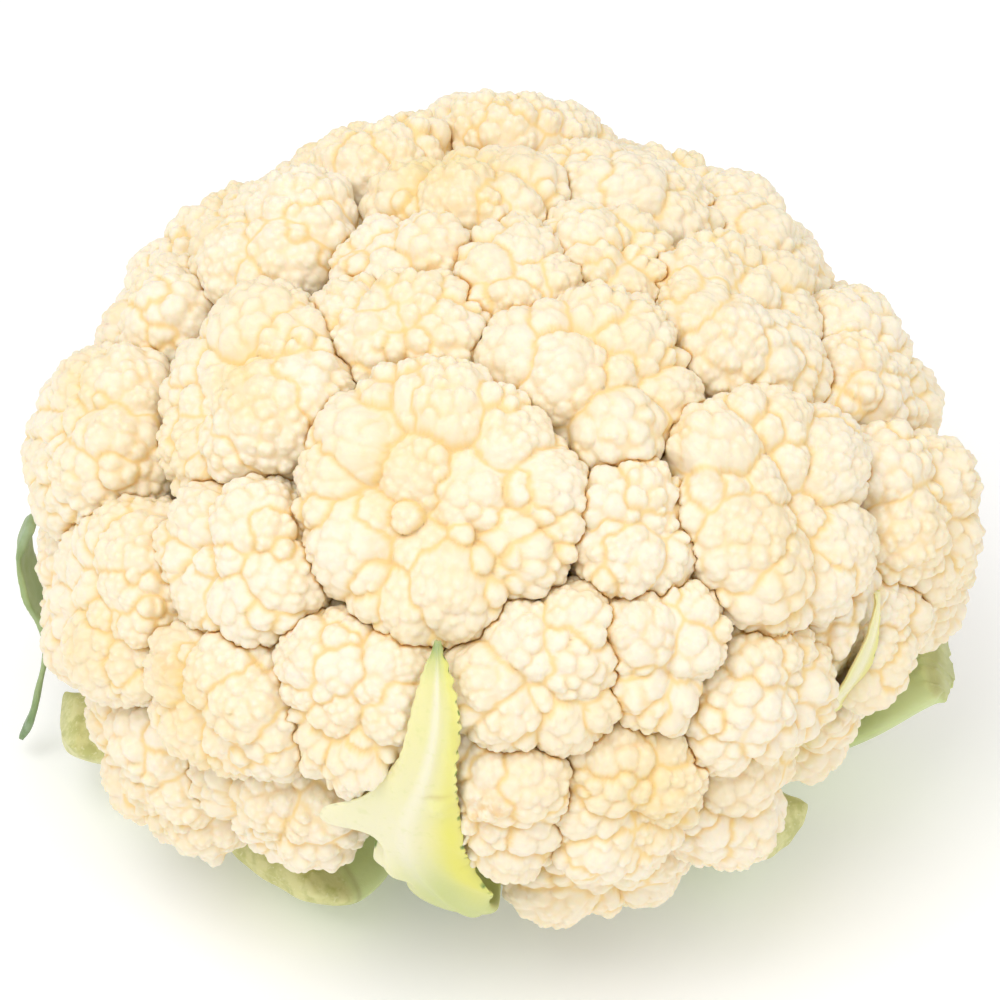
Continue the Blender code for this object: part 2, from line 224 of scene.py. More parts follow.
class Floret:
    """One floret: its place, the directions of its surface grid, and the reach along each."""

    def __init__(self, name, hub, index):
        self.name = name
        self.rng = np.random.default_rng(1000 + index)
        self.seed = index
        co, polygons = node_arrays(name)
        self.tree = BVHTree.FromPolygons([Vector(v) for v in co], polygons)
        rel = co - hub
        far = np.linalg.norm(rel, axis=1)
        cap = rel[far > 0.72 * far.max()]
        low, high = cap.min(0), cap.max(0)
        self.axis = (low + high) / 2
        self.axis /= np.linalg.norm(self.axis)
        along = rel @ self.axis
        side = np.linalg.norm(rel - along[:, None] * self.axis, axis=1)
        self.width = float(np.median(np.sort(side)[-12:]))
        self.top = float(along.max())
        self.centre = hub + self.axis * (self.top - 0.95 * self.width)
        lift = np.array([0.0, 0.0, 1.0])
        east = np.cross(lift, self.axis)
        east /= np.linalg.norm(east)
        self.turned = np.stack([east, np.cross(self.axis, east), self.axis])
        self.hub = hub
        # Plain dome.
        line = np.linspace(-1, 1, BASE_STEPS)
        a, b = np.meshgrid(line, line, indexing="ij")
        ways = self.ways(*square_to_angles(a.ravel(), b.ravel()))
        start = Vector(self.centre)
        plain = np.array([self.tree.ray_cast(start, Vector(w))[3] or self.width for w in ways])
        plain = np.minimum(plain, 2.2 * self.width).reshape(BASE_STEPS, BASE_STEPS)
        arc = REACH * (self.width * 1.15) * 2
        self.steps = int(np.clip(arc / GRAIN, 40, 380))
        fine = np.linspace(-1, 1, self.steps)
        gap = (fine[:, None] - line[None, :]) / (line[1] - line[0]) / BASE_BLUR
        weight = np.exp(-0.5 * gap ** 2)
        weight /= weight.sum(1, keepdims=True)
        base = weight @ plain @ weight.T
        a, b = np.meshgrid(fine, fine, indexing="ij")
        self.tilt, self.turn = square_to_angles(a, b)
        self.way = self.ways(self.tilt.ravel(), self.turn.ravel())
        sides = smooth((self.tilt - math.radians(20)) / math.radians(50))
        self.base = base + BULGE * sides - INSET
        self.reach = self.base.copy()

    def ways(self, tilt, turn):
        flat = np.sin(tilt)
        local = np.stack([flat * np.cos(turn), flat * np.sin(turn), np.cos(tilt)], -1)
        return local @ self.turned

    def places(self, rows):
        """Soft spots on the dome, from (tilt, turn, size, strength) rows."""
        total = np.zeros(len(self.way))
        points = self.points(self.settled)
        for tilt, turn, size, strength in rows:
            way = self.ways(np.radians([tilt]), np.radians([turn]))[0]
            spot = self.centre + way * self.width
            far = np.linalg.norm(points - spot, axis=1) / size
            total = np.maximum(total, strength * np.exp(-far ** 2))
        return total

    def points(self, reach):
        return self.centre + self.way * reach.ravel()[:, None]

    def gauge(self, points):
        """Distance of points from the centre as a share of this floret's surface; above 1 is outside."""
        rel = points - self.centre
        far = np.linalg.norm(rel, axis=1)
        local = rel @ self.turned.T
        tilt = np.arccos(np.clip(local[:, 2] / np.maximum(far, 1e-9), -1, 1))
        turn = np.arctan2(local[:, 1], local[:, 0])
        a, b = angles_to_square(np.minimum(tilt, REACH * 0.999), turn)
        x = np.clip((a + 1) / 2 * (self.steps - 1), 0, self.steps - 1.001)
        y = np.clip((b + 1) / 2 * (self.steps - 1), 0, self.steps - 1.001)
        i, j = x.astype(int), y.astype(int)
        u, v = x - i, y - j
        r = self.reach
        value = (r[i, j] * (1 - u) * (1 - v) + r[i + 1, j] * u * (1 - v)
                 + r[i, j + 1] * (1 - u) * v + r[i + 1, j + 1] * u * v)
        return np.where(tilt < REACH, far / value, 9.0)


def scatter(points, spacing, rng, jitter=0.0):
    """Grid places kept at least a spacing apart, in a seeded random order."""
    steps = points.shape[0]
    free = np.ones((steps, steps), bool)
    cell = np.linalg.norm(points[1:, :] - points[:-1, :], axis=2)
    kept = []
    order = rng.permutation(steps * steps)
    for spot in order.tolist():
        i, j = divmod(spot, steps)
        if not free[i, j]:
            continue
        room = spacing * (1 + jitter * rng.uniform(-1, 1))
        pitch = max(cell[min(i, steps - 2), j], 0.5 * GRAIN)
        w = int(room / pitch * 1.5) + 2
        i0, i1, j0, j1 = max(i - w, 0), i + w + 1, max(j - w, 0), j + w + 1
        near = ((points[i0:i1, j0:j1] - points[i, j]) ** 2).sum(-1) < room * room
        free[i0:i1, j0:j1] &= ~near
        kept.append((i, j, room))
    return kept


def window(seed, points, reach):
    """Slices of the grid that cover a seed out to a given reach."""
    i, j = seed
    steps = points.shape[0]
    near = min(i, steps - 2), min(j, steps - 2)
    pitch = max(min(np.linalg.norm(points[near[0] + 1, j] - points[near[0], j]),
                    np.linalg.norm(points[i, near[1] + 1] - points[i, near[1]])), 0.4 * GRAIN)
    w = int(reach / pitch * 1.15) + 2
    return slice(max(i - w, 0), i + w + 1), slice(max(j - w, 0), j + w + 1)


def edges_between(owner):
    """1 where neighbouring grid points belong to different bumps, softened over a grid step."""
    line = np.zeros(owner.shape)
    line[1:] += owner[1:] != owner[:-1]
    line[:-1] += owner[1:] != owner[:-1]
    line[:, 1:] += owner[:, 1:] != owner[:, :-1]
    line[:, :-1] += owner[:, 1:] != owner[:, :-1]
    line = np.minimum(line, 1)
    for axis in (0, 1):
        line = (np.roll(line, 1, axis) + 2 * line + np.roll(line, -1, axis)) / 4
    return np.minimum(line * 1.35, 1)


class Bumps:
    """Three generations of bumps on one floret; each bump rides on the one that it belongs to."""

    def __init__(self, floret):
        self.floret = floret
        self.steps = floret.steps
        self.way = floret.way.reshape(self.steps, self.steps, 3)

    def place_large(self):
        """Spheres of several sizes set just inside the plain dome."""
        floret, steps = self.floret, self.steps
        points = floret.points(floret.base).reshape(steps, steps, 3)
        normal = np.cross(np.gradient(points, axis=0), np.gradient(points, axis=1))
        normal /= np.maximum(np.linalg.norm(normal, axis=2, keepdims=True), 1e-12)
        flip = (normal * self.way).sum(-1, keepdims=True)
        normal *= np.where(flip < 0, -1, 1)
        rng = floret.rng
        spots, sizes, centres, balls = np.zeros((0, 3)), np.zeros(0), [], []
        largest = min(1.0, 0.40 + floret.width / 0.036)
        for half in LARGE_BUMPS:
            half *= largest if half > 0.003 else 1
            for spot in rng.integers(0, steps * steps, TRIES):
                i, j = divmod(int(spot), steps)
                size = half * rng.uniform(0.88, 1.12)
                place = points[i, j]
                if len(spots):
                    if (np.linalg.norm(spots - place, axis=1) < 0.86 * (sizes + size)).any():
                        continue
                spots = np.vstack([spots, place])
                sizes = np.append(sizes, size)
                ball = size * BUMP_ROUNDNESS
                inset = ball + size * rng.uniform(-0.02, 0.06)
                centres.append(place - normal[i, j] * inset - floret.centre)
                balls.append(ball)
        self.centres, self.balls = np.array(centres), np.array(balls)
        first = np.zeros(floret.base.size)
        owner = np.full(len(first), -1)
        for k in range(len(self.balls)):
            hit = self.sphere(k, floret.way)
            better = hit > first
            owner[better] = k
            first[better] = hit[better]
        self.reach = np.maximum(first.reshape(steps, steps), floret.base - LARGE_DEPTH)
        self.large = owner.reshape(steps, steps)

    def sphere(self, k, way):
        ahead = way @ self.centres[k]
        left = ahead ** 2 - self.centres[k] @ self.centres[k] + self.balls[k] ** 2
        return ahead + np.sqrt(np.maximum(left, 0)) - np.where(left < 0, 0.002, 0)

    def seeds(self, spacing, jitter):
        points = self.way * self.reach[..., None]
        return points, scatter(points, spacing, self.floret.rng, jitter)

    def place_middle(self, share):
        """Caps of a few millimetres, each following the large bump under it."""
        points, seeds = self.seeds(MIDDLE_SPACING, 0.35)
        rng = self.floret.rng
        first = self.reach - 0.01
        owner = np.full(first.shape, -1)
        self.middle_seeds = []
        for i, j, room in seeds:
            k = self.large[i, j]
            if k < 0:
                continue
            height = MIDDLE_HEIGHT * share[i, j]
            fall = height / (0.56 * room) ** 2
            rise = 0.45 * height * rng.uniform(-1, 1)
            spot = self.way[i, j] * self.sphere(k, self.way[i, j])
            cut = window((i, j), points, 1.35 * room)
            hit = self.sphere(k, self.way[cut])
            far = ((self.way[cut] * hit[..., None] - spot) ** 2).sum(-1)
            value = hit + rise - fall * far
            better = value > first[cut]
            first[cut] = np.where(better, value, first[cut])
            owner[cut] = np.where(better, len(self.middle_seeds), owner[cut])
            self.middle_seeds.append((k, spot, fall, rise))
        self.reach, self.middle = np.maximum(first, self.reach - CREASE_SHARE * MIDDLE_HEIGHT), owner

    def place_buds(self, share):
        """The finest buds, each following its own middle bump."""
        points, seeds = self.seeds(BUD_SPACING, 0.30)
        rng = self.floret.rng
        first = self.reach - 0.01
        owner = np.full(first.shape, -1)
        parents = np.full(len(seeds), -1)
        for n, (i, j, room) in enumerate(seeds):
            m = self.middle[i, j]
            if m < 0:
                continue
            parents[n] = m
            k, spot3, fall3, rise3 = self.middle_seeds[m]
            height = BUD_HEIGHT * share[i, j]
            fall = height / (0.56 * room) ** 2
            rise = 0.5 * height * rng.uniform(-1, 1)
            cut = window((i, j), points, 1.30 * room)
            way = self.way[cut]
            hit = self.sphere(k, way)
            hit += rise3 - fall3 * ((way * hit[..., None] - spot3) ** 2).sum(-1)
            spot = self.way[i, j] * self.reach[i, j]
            value = hit + rise - fall * ((way * hit[..., None] - spot) ** 2).sum(-1)
            better = value > first[cut]
            first[cut] = np.where(better, value, first[cut])
            owner[cut] = np.where(better, n, owner[cut])
        self.reach, self.bud = np.maximum(first, self.reach - CREASE_SHARE * BUD_HEIGHT), owner
        parents = np.append(parents, -1)
        self.middle = parents[owner]
        families = np.array([seed[0] for seed in self.middle_seeds] + [-1])
        self.large = families[self.middle]


def model_floret(floret):
    """Adds the large bumps, the middle bumps and the buds to a floret's plain dome."""
    steps = floret.steps
    bumps = Bumps(floret)
    bumps.place_large()
    flat = floret.points(floret.base)
    # The middle bumps and the buds are weaker where the curd has fused into broad smooth tops.
    fused = smooth(waves(flat, 0.022, 70 + floret.seed).reshape(steps, steps) * 0.9 + 0.55)
    crisp = 1 - smooth((floret.width - 0.018) / 0.016)      # the broad domes are the smoothest
    bumps.place_middle((0.60 + 0.15 * crisp) + (0.60 - 0.10 * crisp) * fused)
    fine = smooth(waves(flat, 0.013, 170 + floret.seed).reshape(steps, steps) + 0.55)
    bumps.place_buds((0.50 + 0.10 * crisp) + 0.65 * fine * (0.4 + 0.6 * fused))
    fade = smooth((REACH - floret.tilt) / math.radians(14))
    floret.reach = floret.base * (1 - fade) * 0.985 + bumps.reach * fade
    # These crease masks carry painted shade into the curd's colour.
    floret.line_large = edges_between(bumps.large) * fade
    floret.line_middle = edges_between(bumps.middle) * (0.5 + 0.5 * fused) * fade
    floret.line_bud = edges_between(bumps.bud) * fine * fade


def settle(florets, others, other_box):
    """Florets share the space where they meet, and keep behind the leaves that lie on them."""
    results = []
    for floret in florets:
        reach = floret.reach.ravel().copy()
        base_points = floret.points(floret.reach)
        limit = np.ones(len(reach))
        for other in florets:
            if other is floret:
                continue
            apart = np.linalg.norm(other.centre - floret.centre)
            if apart > 1.7 * (floret.reach.max() + other.reach.max()):
                continue
            inside = np.nonzero(other.gauge(base_points) < 1)[0]
            if not len(inside):
                continue
            low, high = np.zeros(len(inside)), np.ones(len(inside))
            way, far = floret.way[inside], reach[inside]
            for _ in range(SHARE_STEPS):
                share = (low + high) / 2
                value = other.gauge(floret.centre + way * (far * share)[:, None])
                ok = value > share
                low, high = np.where(ok, share, low), np.where(ok, high, share)
            limit[inside] = np.minimum(limit[inside], low)
        pulled = reach * limit - np.where(limit < 1, CLEARANCE, 0)
        # The seam opens a little wider than the line where two florets touch.
        seam = (limit < 0.9995).reshape(floret.reach.shape).astype(float)
        seam = blur(seam, SEAM_WIDTH / GRAIN)
        pulled -= SEAM_DEPTH * (4 * seam * (1 - seam)).ravel()
        # The widened seam mask carries painted seam shade into the curd's colour.
        seam = np.minimum(seam * 2, 1)
        near = ((floret.centre > other_box[0] - 1.3 * floret.width)
                & (floret.centre < other_box[1] + 1.3 * floret.width)).all(1)
        if near.any():
            start = Vector(floret.centre)
            longest = float(pulled.max()) + 0.004
            press = np.zeros(len(pulled))
            for k, way in enumerate(floret.way):
                hit = others.ray_cast(start, Vector(way), longest)[3]
                if hit is not None:
                    press[k] = max(pulled[k] - hit + LEAF_CLEARANCE, 0.0)
            press = press.reshape(floret.reach.shape)
            if press.any():
                # The curd also gives way softly just outside the leaf's margin.
                wide = press.copy()
                for axis in (0, 1):
                    wide = np.maximum(wide, np.maximum(np.roll(wide, 1, axis), np.roll(wide, -1, axis)))
                wide = blur(wide, 1.3)
                press = np.maximum(press, wide)
            pulled = np.maximum(pulled - press.ravel(), 0.3 * floret.width)
        results.append((pulled.reshape(floret.reach.shape), seam))
    for floret, (pulled, seam) in zip(florets, results):
        floret.seam = seam
        floret.settled = np.maximum(pulled, 0.25 * floret.width)


def border(rows, cols):
    """Indices of a grid's outer edge, once round."""
    index = np.arange(rows * cols).reshape(rows, cols)
    return np.concatenate([index[0, :-1], index[:-1, -1], index[-1, :0:-1], index[:0:-1, 0]])


def floret_piece(floret, material):
    steps = floret.steps
    grid = floret.points(floret.settled)
    index = np.arange(steps * steps).reshape(steps, steps)
    faces = np.stack([index[:-1, :-1], index[1:, :-1], index[1:, 1:], index[:-1, 1:]], -1).reshape(-1, 4)
    edge = border(steps, steps)
    rim = grid[edge]
    rel = rim - floret.hub
    along = rel @ floret.axis
    side = rel - along[:, None] * floret.axis
    wide = np.linalg.norm(side, axis=1)
    out = side / wide[:, None]
    neck = KNOB_RADIUS + 0.0012
    rows = [grid]
    places = np.stack([index // steps, index % steps], -1).reshape(-1, 2) / (steps - 1)
    uv = UV_BORDER + places * (1 - 2 * UV_BORDER)
    edge_uv = uv[edge]
    uv_all = [uv]
    for ring in range(1, NECK_RINGS + 1):
        share = ring / NECK_RINGS
        level = along + (neck - along) * share
        axis_points = floret.hub + level[:, None] * floret.axis
        hit = np.array([floret.tree.ray_cast(Vector(p), Vector(o), 0.06)[3] or 0.002
                        for p, o in zip(axis_points, out)])
        hit = np.maximum(hit * 0.97 - 0.0001, 0.0008)
        blend = smooth(np.array(share / 0.45))
        width = wide * (1 - blend) + hit * blend
        width = np.minimum(width, wide * (1 - share) + hit * share + 0.001)
        rows.append(floret.hub + level[:, None] * floret.axis + out * width[:, None])
        uv_all.append(0.5 + (edge_uv - 0.5) * (1 + (0.5 / (0.5 - UV_BORDER) - 1) * share))
    count = len(edge)
    rings = [edge] + [steps * steps + k * count + np.arange(count) for k in range(NECK_RINGS)]
    bands = []
    for inner, outer in zip(rings, rings[1:]):
        bands.append(np.stack([inner, np.roll(inner, -1), np.roll(outer, -1), outer], -1))
    points = np.concatenate(rows)
    tip = points[rings[-1]].mean(0)
    points = np.vstack([points, tip])
    uvs = np.vstack(uv_all + [np.array([[0.5, 0.0]])])
    quads = np.concatenate([faces] + bands)
    # The closing fan is made of quads with a shared tip on every second edge.
    last = rings[-1]
    pairs = [(last[k], last[(k + 1) % count], last[(k + 2) % count], len(points) - 1)
             for k in range(0, count - 1, 2)]
    quads = np.vstack([quads, np.array(pairs)])
    a, b, c = points[quads[0, 0]], points[quads[0, 1]], points[quads[0, 2]]
    if np.cross(b - a, c - a) @ (a - floret.centre) < 0:
        quads = quads[:, ::-1]
    mesh = new_mesh(floret.name + "_curd", points, quads)
    layer = mesh.uv_layers.new(name="OFBake")
    layer.data.foreach_set("uv", uvs[quads.ravel()].astype(np.float32).ravel())
    spare = len(points) - steps * steps

    def spread(values, rest=0.0):
        return np.concatenate([values.ravel(), np.full(spare, rest)])
    # The bump lines and the seam mask are painted crease and seam shade in the curd's colour.
    add_values(mesh, "large", spread(floret.line_large))
    add_values(mesh, "middle", spread(floret.line_middle))
    add_values(mesh, "bud", spread(floret.line_bud))
    add_values(mesh, "deep", spread(floret.seam, 0.6))
    add_values(mesh, "yellowed", spread(floret.places(YELLOWED.get(floret.name, []))))
    add_values(mesh, "browned", spread(floret.places(BROWNED.get(floret.name, []))))
    add_values(mesh, "branch", spread(1 - smooth((REACH - floret.tilt) / math.radians(10)), 1.0))
    return add_piece(floret.name + "_curd", mesh, material, [floret.name])


# ---------------------------------------------------------------- materials
class Nodes:
    """Short way of writing a node material."""

    def __init__(self, name):
        self.material = bpy.data.materials.new(name)
        self.material.use_nodes = True
        self.tree = self.material.node_tree
        self.shader = self.tree.nodes["Principled BSDF"]

    def add(self, kind, **values):
        node = self.tree.nodes.new(kind)
        for key, value in values.items():
            if hasattr(node, key):
                setattr(node, key, value)
            else:
                node.inputs[key.replace("_", " ")].default_value = value
        return node

    def link(self, source, target):
        self.tree.links.new(source, target)

    def value(self, name):
        return self.add("ShaderNodeAttribute", attribute_name=name).outputs["Fac"]

    def math(self, operation, a, b=0.0, clamp=False):
        node = self.add("ShaderNodeMath", operation=operation, use_clamp=clamp)
        for k, item in enumerate((a, b)):
            if isinstance(item, (int, float)):
                node.inputs[k].default_value = item
            else:
                self.link(item, node.inputs[k])
        return node.outputs[0]

    def mix(self, factor, a, b):
        node = self.add("ShaderNodeMix", data_type="RGBA")
        for item, key in ((factor, 0), (a, 6), (b, 7)):
            if isinstance(item, (int, float)):
                node.inputs[key].default_value = item
            elif isinstance(item, tuple):
                node.inputs[key].default_value = (*item, 1)
            else:
                self.link(item, node.inputs[key])
        return node.outputs[2]

    def noise(self, scale, detail=3.0, roughness=0.55):
        place = self.add("ShaderNodeTexCoord").outputs["Object"]
        node = self.add("ShaderNodeTexNoise", Scale=scale, Detail=detail, Roughness=roughness)
        self.link(place, node.inputs["Vector"])
        return node.outputs["Fac"]

    def ramp(self, source, low, high):
        node = self.add("ShaderNodeMapRange", interpolation_type="SMOOTHSTEP")
        self.link(source, node.inputs["Value"])
        node.inputs["From Min"].default_value = low
        node.inputs["From Max"].default_value = high
        return node.outputs["Result"]

    def finish(self, colour, roughness, bump_source=None, bump_height=0.0001, subsurface=0.0,
               radius=(1, 0.7, 0.4), scale=0.004):
        self.link(colour, self.shader.inputs["Base Color"])
        if isinstance(roughness, (int, float)):
            self.shader.inputs["Roughness"].default_value = roughness
        else:
            self.link(roughness, self.shader.inputs["Roughness"])
        if bump_source is not None:
            bump = self.add("ShaderNodeBump", Strength=1.0, Distance=bump_height)
            self.link(bump_source, bump.inputs["Height"])
            self.link(bump.outputs["Normal"], self.shader.inputs["Normal"])
        self.shader.inputs["Subsurface Weight"].default_value = subsurface
        self.shader.inputs["Subsurface Radius"].default_value = radius
        self.shader.inputs["Subsurface Scale"].default_value = scale
        return self.material


def curd_material():
    """Cream curd: painted warm shade in the creases between bumps and in the seams between florets,
    yellowed and browned places, greenish branches.
    """
    n = Nodes("curd_surface")
    base = n.mix(n.ramp(n.noise(45), 0.35, 0.70), (0.935, 0.84, 0.675), (0.925, 0.80, 0.585))
    patch = n.ramp(n.noise(16, 2.0), 0.60, 0.78)
    base = n.mix(n.math("MULTIPLY", patch, 0.55), base, (0.88, 0.70, 0.36))
    base = n.mix(n.math("MULTIPLY", n.value("yellowed"), 0.75), base, (0.89, 0.70, 0.33))
    spots = n.math("MULTIPLY", n.value("browned"), n.ramp(n.noise(420, 3.0), 0.38, 0.58))
    base = n.mix(spots, base, (0.82, 0.52, 0.20))
    fleck = n.ramp(n.noise(900, 2.0), 0.62, 0.80)
    base = n.mix(n.math("MULTIPLY", fleck, 0.10), base, (0.80, 0.62, 0.36))
    # Painted shade: the lines between bumps are tinted orange-gold to stand in for the dim, warm light
    # down in the creases.
    broken = n.ramp(n.noise(260, 2.0), 0.30, 0.62)
    large_crease_shade = n.math("MULTIPLY", n.value("large"), 0.66)
    middle = n.math("MULTIPLY", n.math("MULTIPLY", n.value("middle"), broken), 0.42)
    bud = n.math("MULTIPLY", n.math("MULTIPLY", n.value("bud"), broken), 0.20)
    line = n.math("MAXIMUM", large_crease_shade, n.math("MAXIMUM", middle, bud))
    colour = n.mix(line, base, (0.91, 0.63, 0.18))
    # Painted shade: an uneven warm tint along the seams between florets, where the gaps fall into shade.
    uneven = n.math("MULTIPLY", n.ramp(n.noise(55, 2.0), 0.35, 0.65), 0.45)
    seam = n.math("MULTIPLY", n.ramp(n.value("deep"), 0.15, 0.95), n.math("ADD", uneven, 0.40))
    colour = n.mix(seam, colour, (0.93, 0.62, 0.24))
    colour = n.mix(n.value("branch"), colour, (0.80, 0.80, 0.58))
    rough = n.math("ADD", n.math("MULTIPLY", n.noise(400), 0.15), 0.50)
    return n.finish(colour, rough, n.noise(2600, 4.0), 0.00006, 0.35, (1.0, 0.65, 0.30), 0.0030)


# ---------------------------------------------------------------- leaves and leaf stalks
class Blade:
    """A CAD leaf or leaf stalk read as two smooth faces over (along, across) places.

    Rays fan out from a level line above the piece's bend, so along runs from the stalk to the tip.
    """

    def __init__(self, name, pivot_out, pivot_up, rows, cols, softness=2.0):
        co, polygons = node_arrays(name)
        tree = BVHTree.FromPolygons([Vector(v) for v in co], polygons)
        flat = np.hypot(co[:, 0], co[:, 1])
        outer = co[flat > 0.6 * flat.max(), :2].mean(0)
        outer /= np.linalg.norm(outer)
        self.out = np.array([outer[0], outer[1], 0.0])
        self.side = np.array([-outer[1], outer[0], 0.0])
        self.pivot = self.out * flat.max() * pivot_out + np.array([0, 0, pivot_up])
        rel = co - self.pivot
        turns = np.arctan2(rel[:, 2], rel @ self.out)
        self.turns = np.linspace(turns.min() + 0.004, turns.max() - 0.004, rows)
        sides = co @ self.side
        scan = np.linspace(sides.min(), sides.max(), 61)

        def cast(turn, side):
            way = self.out * math.cos(turn) + np.array([0, 0, math.sin(turn)])
            start = self.pivot + self.side * side
            hit = tree.ray_cast(Vector(start), Vector(way), 0.2)[3]
            if hit is None:
                return None
            again = tree.ray_cast(Vector(start + way * (hit + 1e-5)), Vector(way), 0.02)[3]
            return hit, hit + 1e-5 + (again or 0.0002)

        low, high = np.full(rows, np.nan), np.full(rows, np.nan)
        for i, turn in enumerate(self.turns):
            seen = [side for side in scan if cast(turn, side)]
            if seen:
                low[i], high[i] = min(seen), max(seen)
        known = ~np.isnan(low)
        low = np.interp(self.turns, self.turns[known], low[known])
        high = np.interp(self.turns, self.turns[known], high[known])
        self.along = np.linspace(0, 1, rows)
        self.across = np.linspace(-1, 1, cols)
        near, far = np.zeros((rows, cols)), np.zeros((rows, cols))
        for i, turn in enumerate(self.turns):
            found = np.full((cols, 2), np.nan)
            for j, w in enumerate(self.across):
                side = (low[i] + high[i]) / 2 + (high[i] - low[i]) / 2 * w * 0.96
                hit = cast(turn, side)
                if hit:
                    found[j] = hit
            good = ~np.isnan(found[:, 0])
            if good.sum() < 2:
                near[i], far[i] = np.nan, np.nan
                continue
            near[i] = np.interp(self.across, self.across[good], found[good, 0])
            far[i] = np.interp(self.across, self.across[good], found[good, 1])
        good = ~np.isnan(near[:, 0])
        for j in range(cols):
            near[:, j] = np.interp(self.along, self.along[good], near[good, j])
            far[:, j] = np.interp(self.along, self.along[good], far[good, j])
        soft = softness * rows / 60
        self.low = blur(low[:, None], soft)[:, 0]
        self.high = blur(high[:, None], soft)[:, 0]
        self.middle = blur((near + far) / 2, soft)
        self.thick = blur(far - near, soft)
        self.u, self.v = np.meshgrid(self.along, self.across, indexing="ij")
        self.slide = np.zeros((rows, cols))       # extra sideways, in metres
        self.lift = np.zeros((rows, cols))        # extra outwards

    def points(self, edge_power=0.5, least=0.06):
        """Outer and inner faces; the thickness closes towards the margins."""
        round_off = np.maximum((1 - np.abs(self.v) ** 4) ** edge_power, least)
        side = ((self.low + self.high) / 2)[:, None] + ((self.high - self.low) / 2)[:, None] * self.v
        side = side + self.slide
        way = (np.cos(self.turns)[:, None, None] * self.out
               + np.sin(self.turns)[:, None, None] * np.array([0, 0, 1.0]))
        faces = []
        for half in (0.5, -0.5):
            reach = self.middle + self.lift + half * self.thick * round_off
            faces.append(self.pivot + side[..., None] * self.side + way * reach[..., None])
        return faces


def blade_piece(blade, name, material, slot, nodes, values, **edges):
    """Closed mesh from a blade's two faces and the rim between them."""
    outer, inner = blade.points(**edges)
    rows, cols = blade.u.shape
    index = np.arange(rows * cols).reshape(rows, cols)
    quads = np.stack([index[:-1, :-1], index[1:, :-1], index[1:, 1:], index[:-1, 1:]], -1).reshape(-1, 4)
    back = quads[:, ::-1] + rows * cols
    edge = border(rows, cols)
    ahead = np.roll(edge, -1)
    rim = np.stack([edge, ahead, ahead + rows * cols, edge + rows * cols], -1)
    faces = np.vstack([quads, back, rim])
    points = np.vstack([outer.reshape(-1, 3), inner.reshape(-1, 3)])
    mesh = new_mesh(name, points, faces)
    bm = bmesh.new()
    bm.from_mesh(mesh)
    bmesh.ops.recalc_face_normals(bm, faces=bm.faces)
    bm.to_mesh(mesh)
    bm.free()
    for key, value in values.items():
        add_values(mesh, key, np.tile(np.broadcast_to(value, (rows, cols)).ravel(), 2))
    return add_piece(name, mesh, material, nodes)


def ripple(places, seed, count=7, low=3, high=14):
    """Smooth seeded noise along a line, about -1 to 1."""
    rng = np.random.default_rng(seed)
    total = np.zeros_like(places)
    for _ in range(count):
        total += np.sin(places * rng.uniform(low, high) * 2 * math.pi + rng.uniform(0, 2 * math.pi))
    return total / math.sqrt(count / 2) / 1.5


def bell(value, middle, width):
    return np.exp(-((value - middle) / width) ** 2)


# ---------------------------------------------------------------- build the curd
hub = np.array([0.0, 0.0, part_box("stalk")[1].z - KNOB_RADIUS])
floret_names = sorted(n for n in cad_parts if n.startswith("floret_"))
leaf_names = sorted(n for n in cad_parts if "leaf" in n)

florets = [Floret(name, hub, index) for index, name in enumerate(floret_names)]
for floret in florets:
    model_floret(floret)
leaf_boxes = [np.array([list(c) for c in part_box(n)]) for n in leaf_names]
settle(florets, tree_of(leaf_names),
       (np.array([b[0] for b in leaf_boxes]), np.array([b[1] for b in leaf_boxes])))
curd = curd_material()
for floret in florets:
    floret_piece(floret, curd)


def leaf_material():
    """Young leaf: pale rib, yellow blade, green margins and tip."""
    n = Nodes("inner_leaf_surface")
    base = n.mix(n.ramp(n.noise(60), 0.35, 0.65), (0.85, 0.80, 0.40), (0.80, 0.78, 0.34))
    base = n.mix(n.value("pale"), base, (0.87, 0.83, 0.60))
    veins = n.ramp(n.noise(700, 2.0), 0.55, 0.75)
    base = n.mix(n.math("MULTIPLY", veins, 0.18), base, (0.62, 0.66, 0.20))
    base = n.mix(n.value("green"), base, (0.56, 0.62, 0.22))
    base = n.mix(n.value("bright"), base, (0.80, 0.76, 0.15))
    base = n.mix(n.value("dusky"), base, (0.30, 0.42, 0.20))
    base = n.mix(n.value("dots"), base, (0.12, 0.22, 0.03))
    base = n.mix(n.value("brown"), base, (0.45, 0.28, 0.07))
    return n.finish(base, 0.42, n.noise(1800, 3.0), 0.00005, 0.25, (0.8, 0.9, 0.2), 0.0015)


def stalk_material(name, base_a, base_b):
    """Cut leaf stalk: smooth pale green skin, speckled olive where it is cut."""
    n = Nodes(name)
    base = n.mix(n.ramp(n.noise(70), 0.35, 0.65), base_a, base_b)
    streak = n.ramp(n.noise(420, 2.0), 0.50, 0.75)
    base = n.mix(n.math("MULTIPLY", streak, 0.25), base, (0.72, 0.76, 0.42))
    cut = n.mix(n.ramp(n.noise(300, 4.0), 0.40, 0.62), (0.72, 0.70, 0.33), (0.55, 0.55, 0.20))
    speck = n.ramp(n.noise(1500, 2.0), 0.60, 0.70)
    cut = n.mix(n.math("MULTIPLY", speck, 0.6), cut, (0.78, 0.76, 0.46))
    base = n.mix(n.value("cut"), base, cut)
    base = n.mix(n.value("brown"), base, (0.30, 0.22, 0.07))
    return n.finish(base, 0.45, n.noise(1500, 3.0), 0.00006, 0.2, (0.7, 0.9, 0.2), 0.0015)


